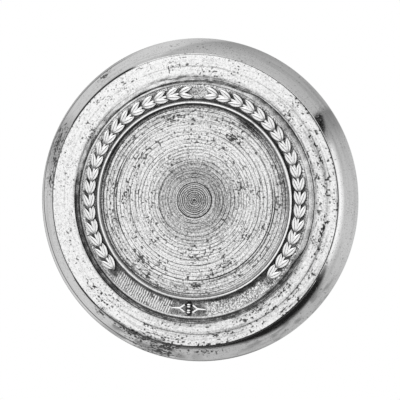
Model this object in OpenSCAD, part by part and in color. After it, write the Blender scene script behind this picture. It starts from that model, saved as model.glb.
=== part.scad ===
// Round motoring club badge in millimetres: a chromed rim, a struck face plate
// with a sunk ornamental band, a turned centre disc, and the studs, strap and
// nuts that clamp it to a grille. The badge looks towards -Y, its ornament
// stands at the bottom, and its seat on the grille is the plane Y = 0.

/* [Rim] */
// Outside diameter of the rim
badge_d = 80; // [76:0.5:100]
// Width of the sloping flank, seen from the front
flank_w = 4; // [3:0.05:5]
// Height of the flank above the rim's straight edge
flank_h = 4.3; // [3.9:0.1:6]
// How far the flank bulges out from a straight slope
flank_crown = 0.45; // [0.1:0.05:0.8]
// Flat land between the flank and the face plate's seat
land_w = 0.1; // [0.05:0.05:0.5]
// Height of the straight edge below the flank
edge_h = 1.2; // [0.6:0.1:2.5]
// Chamfer on the rim's and the plates' sharp corners
edge_break = 0.2; // [0.1:0.05:0.4]
// Width of the ledge inside the rim that carries the face plate
ledge_w = 4.9; // [4.2:0.05:5.2]
// Width of the lip behind the rim, round the back cover
lip_w = 4; // [3:0.1:5]

/* [Face plate] */
// Gap between the rim and the face plate's edge
seam = 0.1; // [0.05:0.05:0.4]
// How far the face stands above the rim
face_proud = 0.5; // [0.2:0.05:0.8]
// Width of the flat face
face_w = 5.4; // [4:0.1:7]
// Thickness of the face plate on the rim's ledge
flange_t = 1.4; // [1.1:0.1:1.8]
// Width of the groove between the face and the band
groove_w = 1.4; // [0.8:0.1:2]
// Depth of that groove below the band's ground
groove_depth = 0.3; // [0.1:0.05:0.4]
// Width of the sunk ornamental band
band_w = 4.35; // [4:0.05:6]
// Depth of the band's ground below the face
band_depth = 0.6; // [0.3:0.05:0.9]
// Width of the raised line along the band's outer edge
border_w = 0.35; // [0.2:0.05:0.6]
// Height of that line above the band's ground
border_h = 0.2; // [0.1:0.05:0.3]
// Depth of the centre recess below the face
recess_depth = 1.9; // [1.6:0.1:2.2]
// Thickness of the recess floor
floor_t = 1.2; // [0.8:0.1:1.6]

/* [Ornament] */
// Height of the sprigs and the divider above the band's ground
relief_h = 0.75; // [0.4:0.05:1]
// Number of leaf pairs on each laurel sprig
leaf_pairs = 18; // [10:1:20]
// Length of a leaf
leaf_l = 3.9; // [3:0.1:4.2]
// Width of a leaf
leaf_w = 1.35; // [0.9:0.05:1.6]
// Angle between a leaf and the stem
leaf_splay = 24; // [15:1:30]
// Width of the sprig's stem
stem_w = 0.6; // [0.4:0.05:0.9]
// Angle below the horizontal where each sprig starts
sprig_start = 43; // [35:1:50]
// Angle of each sprig from its first to its last leaf pair
sprig_arc = 122; // [100:1:124]
// Length of a dart's tail
dart_l = 2.2; // [1.5:0.1:3]
// Stroke width of the darts
dart_w = 0.4; // [0.3:0.05:0.6]
// Length of a dart's prongs
prong_l = 1.25; // [0.8:0.05:1.3]
// Diameter of the two pellets between the darts
pellet_d = 0.95; // [0.7:0.05:1.1]
// Distance between the pellets' centres
pellet_spacing = 1.4; // [1.2:0.05:1.8]
// Distance from the pellets to a dart's fork
fork_x = 2; // [1.7:0.05:2.5]

/* [Bead and centre] */
// Width of the half-round bead round the centre
bead_w = 1.1; // [0.8:0.05:1.6]
// How far the bead stands above the face
bead_proud = 0.6; // [0.2:0.05:0.9]
// Thickness of the centre disc at its middle
disc_t = 1.1; // [0.8:0.05:1.4]
// Depth of the dish turned into the centre disc
dish_depth = 0.6; // [0.3:0.05:0.8]
// Number of deeper tool grooves in the dish
tool_grooves = 16; // [6:1:24]
// Width of a tool groove
tool_groove_w = 0.3; // [0.2:0.05:0.4]
// Depth of a tool groove
tool_groove_depth = 0.08; // [0.04:0.02:0.16]
// Diameter of the rivet's head, turned flush in the middle
rivet_head_d = 8.6; // [7.6:0.1:10]
// Diameter of the rivet's shank
rivet_d = 5; // [4:0.1:6]

/* [Back] */
// Thickness of the back cover
cover_t = 1.5; // [1.2:0.1:2]
// Thickness of the rubber gasket
gasket_t = 1.5; // [1:0.1:3]
// Distance between the gasket's edge and the cover screws' heads
gasket_clear = 0.3; // [0.1:0.1:2]
// Number of screws that hold the back cover
screw_count = 6; // [4:1:8]
// Diameter of a cover screw
screw_d = 2.5; // [2:0.1:3]
// Diameter of a cover screw's countersunk head
screw_head_d = 4.6; // [4.2:0.1:5]
// Depth of the cover screws' thread in the rim
screw_grip = 1.6; // [1.2:0.1:1.8]

/* [Studs and nuts] */
// Distance between the two studs
stud_spacing = 36; // [30:1:40]
// Diameter of a stud
stud_d = 5; // [4:0.5:6]
// Diameter of a stud's flange under the face plate
stud_flange_d = 9; // [8:0.5:11]
// Distance from the stud's skin to the gasket's hole
stud_relief = 1.5; // [1.3:0.1:2.5]
// Thread pitch of the studs and nuts
pitch = 0.8; // [0.7:0.05:1]
// Turns that a nut makes before the strap is fully slack
slack_turns = 8; // [2:1:10]
// Length of thread left beyond a slackened nut
stud_tail = 2; // [1:0.5:4]
// Width of a nut across its flats
nut_af = 8; // [7.5:0.5:10]
// Height of a nut
nut_h = 4; // [3:0.5:5]
// Outside diameter of a plain washer
washer_d = 10; // [9:0.5:12]
// Thickness of a plain washer
washer_t = 1; // [0.8:0.1:1.6]
// Outside diameter of a spring washer
spring_d = 8.8; // [8.4:0.2:9]
// Thickness of a spring washer
spring_t = 1.3; // [1:0.1:1.6]
// Width of the cut through a spring washer
spring_cut = 0.8; // [0.4:0.1:1.2]

/* [Strap] */
// Clear gap between the gasket and the strap's pads
grip_gap = 5; // [4.5:0.5:12]
// Width of the strap
strap_w = 14; // [12:0.5:18]
// Thickness of the strap
strap_t = 2.5; // [2:0.1:3]
// Distance from a stud to the strap's end
strap_overhang = 13; // [11.5:0.5:15]
// Height of the strap's feet
foot_h = 3.4; // [3.2:0.1:5]
// Inside radius of the bend at each foot
bend_r = 1.5; // [1:0.1:1.6]
// Thickness of rubber in front of a foot
pad_t = 1.6; // [1:0.1:3]
// Thickness of rubber round a foot
pad_wall = 1.5; // [1:0.1:2]
// How far a pad reaches over its foot
pad_reach = 1.4; // [1:0.1:1.5]

/* [Fits] */
// Clearance between pieces that fit inside one another
fit_gap = 0.05; // [0.03:0.01:0.08]
// Clearance between a stud and the washers and strap on it
slide_gap = 0.25; // [0.15:0.05:0.35]

/* [Hidden] */
$fn = 96;

// Radii, from the outside in
badge_r = badge_d / 2;
seat_r = badge_r - flank_w - land_w;
face_r = seat_r - seam;
groove_r = face_r - face_w;
band_r = groove_r - groove_w;
recess_r = band_r - band_w;
band_mid_r = (band_r - border_w + recess_r) / 2;
stem_r = band_mid_r - pow(leaf_l * cos(leaf_splay), 2) / (2 * band_mid_r);
bead_r = recess_r - fit_gap - bead_w / 2;
disc_r = bead_r - bead_w / 2 - fit_gap;
rim_bore_r = seat_r - ledge_w;
cover_seat_r = badge_r - lip_w;
cover_r = cover_seat_r - fit_gap;
screw_r = screw_d / 2;
screw_head_r = screw_head_d / 2;
screw_ring_r = (rim_bore_r + cover_seat_r) / 2;
gasket_r = screw_ring_r - screw_head_r - gasket_clear;
rivet_r = rivet_d / 2;
rivet_head_r = rivet_head_d / 2;

// Heights above the seat on the grille, towards the front
z_rear = gasket_t;
z_cover = z_rear + cover_t;
z_edge = z_rear + edge_h;
z_flank = z_edge + flank_h;
z_face = z_flank + face_proud;
z_ledge = z_face - flange_t;
z_ground = z_face - band_depth;
z_groove = z_ground - groove_depth;
z_floor = z_face - recess_depth;
z_under = z_floor - floor_t;
z_disc = z_floor + disc_t;
z_bead = z_face + bead_proud;
packing_t = z_under - z_cover;
rivet_tail_t = cover_t / 2;
rivet_tail_r = rivet_r + rivet_tail_t;
rivet_neck_r = (rivet_r + rivet_head_r) / 2;

// Heights behind the seat, where the strap and the nuts sit
stud_r = stud_d / 2;
stud_x = stud_spacing / 2;
thread_r = stud_r - fit_gap;
thread_depth = 0.6 * pitch;
nut_bore_r = thread_r + fit_gap;
washer_bore_r = stud_r + slide_gap;
z_pad = -grip_gap;
z_foot = z_pad - pad_t;
z_strap = z_foot - foot_h;
z_strap_back = z_strap - strap_t;
z_washer = z_strap_back - washer_t;
z_spring = z_washer - spring_t;
z_nut = z_spring - nut_h;
slack_travel = slack_turns * pitch;
z_stud_end = z_nut - slack_travel - stud_tail;
shank_end = z_strap + pitch;
strap_half = stud_x + strap_overhang;

// Cuts run this far past the faces that they open
past = 1;

// Finishes
chrome = "gainsboro";
silvered = "silver";
turned = "lightgray";
steel = "darkgray";
brass = "goldenrod";
rubber = "dimgray";
fibre = "sienna";

// Height of the dish's surface at radius r
function dish_z(r) = z_disc + dish_depth * pow(r / disc_r, 2);

// Turns the badge's own axis, drawn along Z, to face -Y
module facing() {
    rotate([90, 0, 0]) children();
}

module at(z) {
    translate([0, 0, z]) children();
}

module at_stud(side) {
    translate([side * stud_x, 0, 0]) children();
}

module both_studs() {
    for (side = [-1, 1]) at_stud(side) children();
}

module at_screws() {
    for (i = [0:screw_count - 1])
        rotate((i + 0.5) * 360 / screw_count) translate([screw_ring_r, 0, 0]) children();
}

// A shape that is cut or built from height a to height b
module round_bar(r, a, b) {
    at(min(a, b)) cylinder(r = r, h = abs(b - a));
}

module cone_bar(r_a, r_b, a, b) {
    at(a) cylinder(r1 = r_a, r2 = r_b, h = b - a);
}

// Section of the rim's outer body, with its crowned flank
module rim_section() {
    foot = [badge_r, z_edge];
    top = [seat_r + land_w, z_flank];
    chord = norm(top - foot);
    flank_r = (chord * chord / 4 + flank_crown * flank_crown) / (2 * flank_crown);
    out = [flank_h, flank_w] / chord;
    centre = (foot + top) / 2 - out * (flank_r - flank_crown);
    intersection() {
        translate(centre) circle(r = flank_r, $fn = 180);
        translate([rim_bore_r, z_edge]) square([badge_r - rim_bore_r, flank_h]);
    }
    polygon([
        [rim_bore_r, z_rear], [badge_r - edge_break, z_rear], [badge_r, z_rear + edge_break],
        [badge_r, z_edge], [rim_bore_r, z_edge]
    ]);
}

// Outer rim: one turned and chromed ring that carries both plates
module rim() {
    color(chrome) facing() difference() {
        rotate_extrude() rim_section();
        round_bar(seat_r, z_ledge, z_flank + past);
        round_bar(cover_seat_r, z_rear - past, z_cover);
        at_screws() round_bar(screw_r + fit_gap, z_cover - past, z_cover + screw_grip + 2 * fit_gap);
    }
}

// Struck front: flat face, groove, sunk band, and the recess for the disc
module face_plate() {
    boss_r = rim_bore_r - fit_gap;
    hole_r = rivet_r + fit_gap;
    slope = groove_w / 3;
    color(silvered) facing() rotate_extrude() polygon([
        [hole_r, z_under], [boss_r, z_under], [boss_r, z_ledge], [face_r, z_ledge],
        [face_r, z_face - edge_break], [face_r - edge_break, z_face], [groove_r, z_face],
        [groove_r - slope, z_groove], [band_r + slope, z_groove], [band_r, z_ground + border_h],
        [band_r - border_w, z_ground + border_h], [band_r - border_w, z_ground],
        [recess_r, z_ground], [recess_r, z_floor], [hole_r, z_floor]
    ]);
}

// Leaf outline along X with its stalk at the origin: two arcs that meet in points
module leaf_outline() {
    arc_r = (leaf_l * leaf_l + leaf_w * leaf_w) / (4 * leaf_w);
    intersection_for(side = [-1, 1])
        translate([leaf_l / 2, side * (arc_r - leaf_w / 2)]) circle(r = arc_r);
}

// Laurel sprig that grows up the right side of the band
module sprig() {
    step = sprig_arc / (leaf_pairs - 1);
    at(z_ground) rotate(-sprig_start) {
        rotate_extrude(angle = sprig_arc)
            translate([stem_r - stem_w / 2, 0]) square([stem_w, relief_h]);
        linear_extrude(relief_h) {
            for (i = [0:leaf_pairs - 1], side = [-1, 1])
                rotate(i * step) translate([stem_r, 0]) rotate(90 + side * leaf_splay) leaf_outline();
        }
    }
}

module laurel_left() {
    color(silvered) facing() mirror([1, 0, 0]) sprig();
}

module laurel_right() {
    color(silvered) facing() sprig();
}

// Forked dart whose tail runs out along X from its fork
module dart() {
    prong_angle = 35;
    translate([0, -dart_w / 2]) square([dart_l, dart_w]);
    for (side = [-1, 1])
        rotate(180 + side * prong_angle) translate([0, -dart_w / 2]) square([prong_l, dart_w]);
}

// Divider at the foot of the band: two pellets between two darts
module divider_ornament() {
    color(silvered) facing() at(z_ground) translate([0, -band_mid_r, 0]) linear_extrude(relief_h) {
        for (side = [-1, 1]) {
            translate([0, side * pellet_spacing / 2]) circle(d = pellet_d);
            mirror([side > 0 ? 0 : 1, 0]) translate([fork_x, 0]) dart();
        }
    }
}

// Half-round bead that trims the joint between the face plate and the disc
module bead_ring() {
    crown_z = z_bead - bead_w / 2;
    color(silvered) facing() rotate_extrude() {
        translate([bead_r - bead_w / 2, z_floor]) square([bead_w, crown_z - z_floor]);
        translate([bead_r, crown_z]) circle(d = bead_w);
    }
}

// Turned centre disc with a shallow dish and its deeper tool grooves
module centre_disc() {
    inner_r = rivet_head_r + tool_groove_w;
    step = (disc_r - tool_groove_w - inner_r) / tool_grooves;
    groove = [for (i = [0:tool_grooves - 1])
        let (r = inner_r + (i + 0.5) * step)
        each [
            [r - tool_groove_w / 2, dish_z(r - tool_groove_w / 2)],
            [r, dish_z(r) - tool_groove_depth],
            [r + tool_groove_w / 2, dish_z(r + tool_groove_w / 2)]
        ]
    ];
    color(turned) facing() difference() {
        rotate_extrude() polygon(concat(
            [[0, z_floor], [disc_r, z_floor], [disc_r, dish_z(disc_r)]],
            [for (i = [len(groove) - 1:-1:0]) groove[i]],
            [[rivet_head_r, z_disc], [0, z_disc]]
        ));
        cone_bar(rivet_neck_r + fit_gap, rivet_head_r + fit_gap, z_floor, z_disc);
        round_bar(rivet_neck_r + fit_gap, z_floor - past, z_floor);
        round_bar(rivet_head_r + fit_gap, z_disc, z_disc + past);
    }
}

// Rivet through the middle, its head turned flush and its tail spread behind
module centre_rivet() {
    color(turned) facing() {
        cone_bar(rivet_neck_r, rivet_head_r, z_floor, z_disc);
        round_bar(rivet_r, z_rear, z_floor);
        cone_bar(rivet_tail_r, rivet_r, z_rear, z_rear + rivet_tail_t);
    }
}

// Fibre packing between the face plate and the back cover
module packing_disc() {
    color(fibre) facing() difference() {
        round_bar(rim_bore_r - fit_gap, z_cover, z_under);
        round_bar(rivet_r + fit_gap, z_cover - past, z_under + past);
        both_studs() round_bar(stud_flange_d / 2 + fit_gap, z_cover - past, z_under + past);
    }
}

// Countersunk hole for a screw or rivet whose head is flush with the rear
module sunk_hole(r, head_r, head_t) {
    round_bar(r, z_rear - past, z_cover + past);
    cone_bar(head_r, r, z_rear, z_rear + head_t);
    round_bar(head_r, z_rear - past, z_rear);
}

// Back cover that closes the rim and holds the studs by their square necks
module back_cover() {
    neck = stud_d + 2 * fit_gap;
    color(brass) facing() difference() {
        round_bar(cover_r, z_rear, z_cover);
        sunk_hole(rivet_r + fit_gap, rivet_tail_r + fit_gap, rivet_tail_t);
        at_screws() sunk_hole(screw_r + fit_gap, screw_head_r + fit_gap, screw_head_r - screw_r);
        both_studs() at(z_rear + cover_t / 2) cube([neck, neck, cover_t + 2 * past], center = true);
    }
}

// Slotted countersunk screws that hold the back cover to the rim
module cover_screws() {
    head_t = screw_head_r - screw_r;
    slot_w = 0.5;
    slot_depth = 0.4;
    color(brass) facing() at_screws() difference() {
        union() {
            cone_bar(screw_head_r, screw_r, z_rear, z_rear + head_t);
            round_bar(screw_r, z_rear + head_t, z_cover + screw_grip);
        }
        at(z_rear) cube([screw_head_d + past, slot_w, 2 * slot_depth], center = true);
    }
}

// Stud with a flange, a square neck, a plain shank and a threaded end
module stud() {
    turns = floor((shank_end - z_stud_end) / pitch);
    root_r = thread_r - thread_depth;
    thread = [for (i = [0:turns - 1]) each [
        [root_r, shank_end - i * pitch],
        [thread_r, shank_end - (i + 0.5) * pitch]
    ]];
    round_bar(stud_flange_d / 2, z_cover, z_under - fit_gap);
    at(z_rear + cover_t / 2) cube([stud_d, stud_d, cover_t], center = true);
    round_bar(stud_r, z_rear, shank_end);
    rotate_extrude() polygon(concat(
        [[0, shank_end]], thread, [[root_r, shank_end - turns * pitch], [0, shank_end - turns * pitch]]
    ));
}

module stud_left() {
    color(brass) facing() at_stud(-1) stud();
}

module stud_right() {
    color(brass) facing() at_stud(1) stud();
}

// Rubber gasket that seats the badge on the grille
module gasket() {
    color(rubber) facing() difference() {
        union() {
            round_bar(gasket_r - edge_break, 0, z_rear);
            cone_bar(gasket_r - edge_break, gasket_r, 0, edge_break);
            round_bar(gasket_r, edge_break, z_rear);
        }
        both_studs() round_bar(stud_r + stud_relief, -past, z_rear + past);
    }
}

// Half of the strap's section, from the middle to the right foot
module strap_half_section() {
    bend_x = strap_half - strap_t - bend_r;
    outer_r = bend_r + strap_t;
    translate([0, z_strap_back]) square([bend_x, strap_t]);
    translate([bend_x, z_strap + bend_r]) intersection() {
        difference() {
            circle(r = outer_r);
            circle(r = bend_r);
        }
        translate([0, -outer_r]) square(outer_r);
    }
    translate([strap_half - strap_t, z_strap + bend_r]) square([strap_t, foot_h - bend_r]);
}

// Spring-steel strap that bridges the back of the grille
module clamp_strap() {
    color(steel) facing() difference() {
        rotate([90, 0, 0]) linear_extrude(strap_w, center = true) for (side = [0, 1])
            mirror([side, 0]) strap_half_section();
        both_studs() round_bar(stud_r + slide_gap, z_strap_back - past, z_strap + past);
    }
}

// Rubber cap that slips over one foot of the strap
module strap_pad(side) {
    foot_x = strap_half - strap_t / 2;
    foot = [strap_t, strap_w] + 2 * fit_gap * [1, 1];
    cap = foot + 2 * pad_wall * [1, 1];
    corner = pad_wall / 2;
    translate([side * foot_x, 0, 0]) difference() {
        at(z_foot - pad_reach) linear_extrude(pad_reach + pad_t) {
            square(cap - [2 * corner, 0], center = true);
            square(cap - [0, 2 * corner], center = true);
            for (x = [-1, 1], y = [-1, 1])
                translate([x * (cap.x / 2 - corner), y * (cap.y / 2 - corner)]) circle(r = corner);
        }
        at(z_foot - pad_reach - past) linear_extrude(pad_reach + past) square(foot, center = true);
    }
}

module strap_pad_left() {
    color(rubber) facing() strap_pad(-1);
}

module strap_pad_right() {
    color(rubber) facing() strap_pad(1);
}

// Plain washer under each spring washer
module washer() {
    difference() {
        round_bar(washer_d / 2, z_washer, z_strap_back);
        round_bar(washer_bore_r, z_washer - past, z_strap_back + past);
    }
}

module washer_left() {
    color(steel) facing() at_stud(-1) washer();
}

module washer_right() {
    color(steel) facing() at_stud(1) washer();
}

// Split spring washer, pressed flat under its nut
module spring_washer() {
    cut_lean = 25;
    difference() {
        round_bar(spring_d / 2, z_spring, z_washer);
        round_bar(washer_bore_r, z_spring - past, z_washer + past);
        translate([0, spring_d / 2, (z_spring + z_washer) / 2]) rotate([0, cut_lean, 0])
            cube([spring_cut, spring_d, 3 * spring_t], center = true);
    }
}

module spring_washer_left() {
    color(steel) facing() at_stud(-1) spring_washer();
}

module spring_washer_right() {
    color(steel) facing() at_stud(1) spring_washer();
}

// Hexagon nut with chamfered corners
module nut() {
    corner_r = nut_af / sqrt(3);
    chamfer = (corner_r - nut_af / 2) / 2;
    difference() {
        intersection() {
            at(z_nut) cylinder(r = corner_r, h = nut_h, $fn = 6);
            at(z_nut) rotate_extrude() polygon([
                [0, 0], [nut_af / 2, 0], [corner_r, chamfer],
                [corner_r, nut_h - chamfer], [nut_af / 2, nut_h], [0, nut_h]
            ]);
        }
        round_bar(nut_bore_r, z_nut - past, z_spring + past);
    }
}

module nut_left() {
    color(brass) facing() at_stud(-1) nut();
}

module nut_right() {
    color(brass) facing() at_stud(1) nut();
}

rim();
face_plate();
laurel_left();
laurel_right();
divider_ornament();
bead_ring();
centre_disc();
centre_rivet();
packing_disc();
back_cover();
cover_screws();
stud_left();
stud_right();
gasket();
clamp_strap();
strap_pad_left();
strap_pad_right();
washer_left();
washer_right();
spring_washer_left();
spring_washer_right();
nut_left();
nut_right();
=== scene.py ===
from math import asin, cos, pi, radians, sin, sqrt, tan

import bmesh
import bpy
import numpy as np
from mathutils import Matrix, Vector


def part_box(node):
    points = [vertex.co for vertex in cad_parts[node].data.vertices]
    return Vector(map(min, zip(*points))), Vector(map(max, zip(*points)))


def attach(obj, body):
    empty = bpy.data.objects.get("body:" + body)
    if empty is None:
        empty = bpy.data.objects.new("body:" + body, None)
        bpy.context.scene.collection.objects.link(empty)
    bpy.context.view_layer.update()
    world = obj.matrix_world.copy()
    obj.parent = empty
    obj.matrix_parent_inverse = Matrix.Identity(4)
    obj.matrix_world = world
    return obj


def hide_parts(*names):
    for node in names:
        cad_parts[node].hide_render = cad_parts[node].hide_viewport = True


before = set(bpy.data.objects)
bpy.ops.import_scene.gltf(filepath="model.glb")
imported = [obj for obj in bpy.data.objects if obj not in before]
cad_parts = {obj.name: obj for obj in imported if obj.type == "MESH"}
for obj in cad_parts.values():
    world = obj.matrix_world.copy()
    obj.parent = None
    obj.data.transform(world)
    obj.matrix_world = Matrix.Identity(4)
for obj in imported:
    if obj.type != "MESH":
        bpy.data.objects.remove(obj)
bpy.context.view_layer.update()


# Outer rim: one ring turned from brass, polished and chromed. The face plate drops into its front, the back
# cover into its rear. The plating of its crowned flank is pitted on the left and below.
MM = 0.001


def box(name):
    """Both corners of a solid's box. Lengths here are in millimetres, and meshes are made in metres."""
    return [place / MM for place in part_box(name)]


scene = bpy.context.scene
fit_gap = 0.05
corner = 0.2
rim_low, rim_high = box("rim")
rim_r = rim_high.x
rim_top = -rim_low.y
rim_rear = -rim_high.y
flank_w = 4
flank_rise = 4.3
flank_crown = 0.45
land_w = 0.1
lip_line_r = rim_r - 0.9
face_r = box("face_plate")[1].x
seat_r = face_r + 0.1
ledge_top = rim_top - 0.9
rim_bore_r = seat_r - 4.9
cover_r = box("back_cover")[1].x
cover_front = -box("back_cover")[0].y
screw_ring_r = 33.5
screw_bore_r = 1.3
rim_steps = 1080


def section(*runs):
    """Points round a closed section. A run gives a radius, a height and the steps there, if not one."""
    points = [runs[-1][:2]]
    for r, h, *steps in runs:
        points += [tuple(p) for p in np.linspace(points[-1], (r, h), sum(steps or [1]) + 1)[1:]]
    return np.array(points[1:])


def bulge(start, end, crown, count):
    """Runs along an arc from start to end that stands proud of the straight line, on its right."""
    start, end = np.array(start), np.array(end)
    chord = np.hypot(*(end - start))
    along = (end - start) / chord
    out = np.array([along[1], -along[0]])
    radius = (chord * chord / 4 + crown * crown) / (2 * crown)
    centre = (start + end) / 2 - out * (radius - crown)
    turn = np.linspace(-1, 1, count) * asin(chord / 2 / radius)
    return [tuple(centre + radius * (out * np.cos(a) + along * np.sin(a))) for a in turn]


def smooth(value, low, high):
    """0 below low, 1 above high, and an even blend between."""
    t = np.clip((value - low) / (high - low), 0, 1)
    return t * t * (3 - 2 * t)


class Turning:
    """The points of a turned piece by radius, height and angle, and masks for wear and painted shade over
    them.
    """

    def __init__(self, points, steps):
        angles = np.arange(steps) * 2 * pi / steps
        self.angle, self.r = np.meshgrid(angles, points[:, 0], indexing="ij")
        self.h = np.broadcast_to(points[:, 1], self.r.shape)

    def degrees_from(self, at):
        """Distance of each point from the given angle, in degrees."""
        return np.abs((np.degrees(self.angle) - at + 180) % 360 - 180)

    def sector(self, at, full, none):
        """1 up to full degrees from an angle, and fading to 0 at none degrees."""
        return smooth(-self.degrees_from(at), -none, -full)

    def past(self, at, low, high):
        """0 where the radius is less than low past a place, and rising to 1 at high past it."""
        return smooth(self.r, at + low, at + high)

    def line(self, at, width):
        """A fine turned line round the piece, 1 in its middle."""
        return np.exp(-((self.r - at) / width) ** 2)

    def rings(self, pitch, sway, low, high):
        """A lathe's tool marks at a pitch, moved about by sway."""
        return smooth(np.cos(2 * pi * (self.r / pitch + sway)), low, high)

    def mottle(self, across, along, seed):
        """Smooth random values from 0 to 1, in patches of those sizes across and along the ring."""
        cells = max(3, int(round(2 * pi * self.r.mean() / along)))
        u = (self.r - self.r.min()) / across
        v = self.angle / (2 * pi) * cells
        grid = np.random.default_rng(seed).random((int(u.max()) + 2, cells))
        i, j = u.astype(int), v.astype(int)
        s, t = u - i, v - j
        s, t = s * s * (3 - 2 * s), t * t * (3 - 2 * t)
        j, k = j % cells, (j + 1) % cells
        inner = grid[i, j] * (1 - t) + grid[i, k] * t
        outer = grid[i + 1, j] * (1 - t) + grid[i + 1, k] * t
        return inner * (1 - s) + outer * s

    def corroded(self, share, patches, seed, gather=0.45):
        """Corrosion specks, thicker in patches. A patch has an angle, a radius, and its reach both ways."""
        speck = self.mottle(0.2, 0.36, seed)
        drift = self.mottle(1.3, 3.5, seed + 1)
        thick = np.zeros(self.r.shape)
        for at, patch_r, across, along in patches:
            aside = np.radians(self.degrees_from(at)) * self.r / along
            gap = np.hypot((self.r - patch_r) / across, aside)
            thick = np.maximum(thick, np.exp(-gap * gap))
        return smooth(speck + 0.3 * drift + gather * thick, 1.27 - share, 1.5 - share)

    def spotted(self, share, seed):
        """Single dark spots, thinly strewn and thicker in drifts."""
        spot = self.mottle(0.36, 0.42, seed) + 0.3 * self.mottle(2.2, 3.5, seed + 1)
        return smooth(spot, 1.2 - share, 1.3 - share)


def placed(name, data):
    """A new object in the scene."""
    made = bpy.data.objects.new(name, data)
    scene.collection.objects.link(made)
    return made


def piece(name, places, faces, dirt_and_shade=None, crease=38):
    """A mesh object from its points and faces. Dirt and painted shade are kept on the points for the material
    to read.
    """
    mesh = bpy.data.meshes.new(name)
    mesh.from_pydata((MM * np.asarray(places)).tolist(), [], [list(f) for f in faces])
    if dirt_and_shade is not None:
        mesh.attributes.new("dirt_and_shade", "FLOAT", "POINT").data.foreach_set("value", np.ravel(dirt_and_shade))
    mesh.shade_smooth()
    mesh.set_sharp_from_angle(angle=radians(crease))
    return placed(name, mesh)


def rework(made, change):
    """Changes a piece's mesh by the given function."""
    work = bmesh.new()
    work.from_mesh(made.data)
    change(work)
    work.to_mesh(made.data)
    work.free()
    return made


def turned(name, points, steps, wear_and_shade=None, middle=0, crease=38):
    """A piece turned from a section. A function may move its points in radius and height and give dirt and
    painted shade.
    """
    on = Turning(points, steps)
    widen, lift, dirt_and_shade = wear_and_shade(on) if wear_and_shade else (0, 0, 0 * on.r)
    r, h = on.r + widen, on.h + lift
    places = np.stack([middle + r * np.cos(on.angle), -h, r * np.sin(on.angle)], axis=-1)
    here = np.arange(r.size).reshape(r.shape)
    after = np.roll(here, -1, axis=0)
    quads = np.stack([here, after, np.roll(after, -1, axis=1), np.roll(here, -1, axis=1)], axis=-1)
    solid = points[0, 0] == 0 and points[-1, 0] == 0
    if solid:
        quads = quads[:, :-1]
    made = piece(name, places.reshape(-1, 3), quads.reshape(-1, 4), dirt_and_shade, crease)
    if solid:
        rework(made, lambda work: bmesh.ops.remove_doubles(work, verts=work.verts, dist=0.0001 * MM))
    return made


def rim_wear_and_shade(on):
    r, h = on.r, on.h
    flank = (h > rim_top - flank_rise) & (r > seat_r + land_w)
    patches = (
        (163, 38, 2.4, 5), (157, 38, 1.5, 2.5), (-102, 38.2, 2.2, 6), (-111, 37.2, 1.4, 4),
        (-128, 36.8, 0.8, 2), (175, 37, 1.2, 4), (-86, 37.6, 0.9, 4), (-109, 36.6, 1.1, 6.5),
        (-98, 37, 1.2, 3.5), (-116, 36.5, 0.7, 3), (166, 36.6, 0.8, 4), (130, 38.4, 0.6, 1.5),
    )
    pits = on.corroded(0.2, patches, 3, gather=0.6)
    wander = np.clip((np.degrees(on.angle) % 360 - 178) / 16, -1, 1)
    lip = on.line(lip_line_r - 0.3 * wander, 0.13) * on.sector(188, 58, 78)
    outline = on.past(rim_r, -0.5, -0.1) * on.sector(205, 80, 105)
    dots = smooth(on.mottle(0.24, 0.3, 8), 0.88, 0.96)
    waves = on.mottle(2.5, 9, 5) - 0.5
    wiped = smooth(on.mottle(0.35, 14, 6), 0.55, 0.95)
    stain = smooth(on.mottle(0.8, 2.2, 7), 0.3, 0.8) * on.sector(-107, 12, 28)
    smears = smooth(on.mottle(0.45, 2.2, 9), 0.5, 0.9) * on.sector(-48, 14, 30)
    dulled = 0.12 * wiped + 0.28 * on.sector(161, 6, 16)
    # Painted shade along the seam with the face plate: the flank next to the seat is darkened round the left
    # and the bottom, darkest at the upper left and the lower left.
    darkened = on.sector(222, 103, 107)
    black = on.sector(135, 15, 19) + on.sector(-138, 5, 9)
    inside = (0.75 + 0.22 * black) * darkened * (1 - on.past(seat_r + 0.2 + 0.14 * black, 0, 0.2))
    lift = 0.02 * waves - 0.04 * pits - 0.07 * lip
    dirt_and_shade = np.max([
        0.85 * pits, inside, 0.95 * lip, 0.5 * outline, 0.4 * stain, 0.4 * dots, 0.3 * smears, dulled
    ], axis=0)
    # Painted shade in the seam gap, lighter at the top, and on the land beside it, which is darkened round
    # the left, the bottom and the lower right.
    seam = (h > ledge_top - corner) & (r < seat_r + 0.01)
    land = (h > ledge_top + corner) & ~flank & ~seam
    lighter = on.sector(74, 30, 38)
    dimmed = 0.15 + 0.7 * darkened + 0.5 * on.sector(-32, 56, 68) - 0.15 * lighter
    gap = 0.9 - 0.6 * lighter
    return 0, np.where(flank, lift, 0), np.select([flank, seam, land], [dirt_and_shade, gap, dimmed], 0.12)


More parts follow.
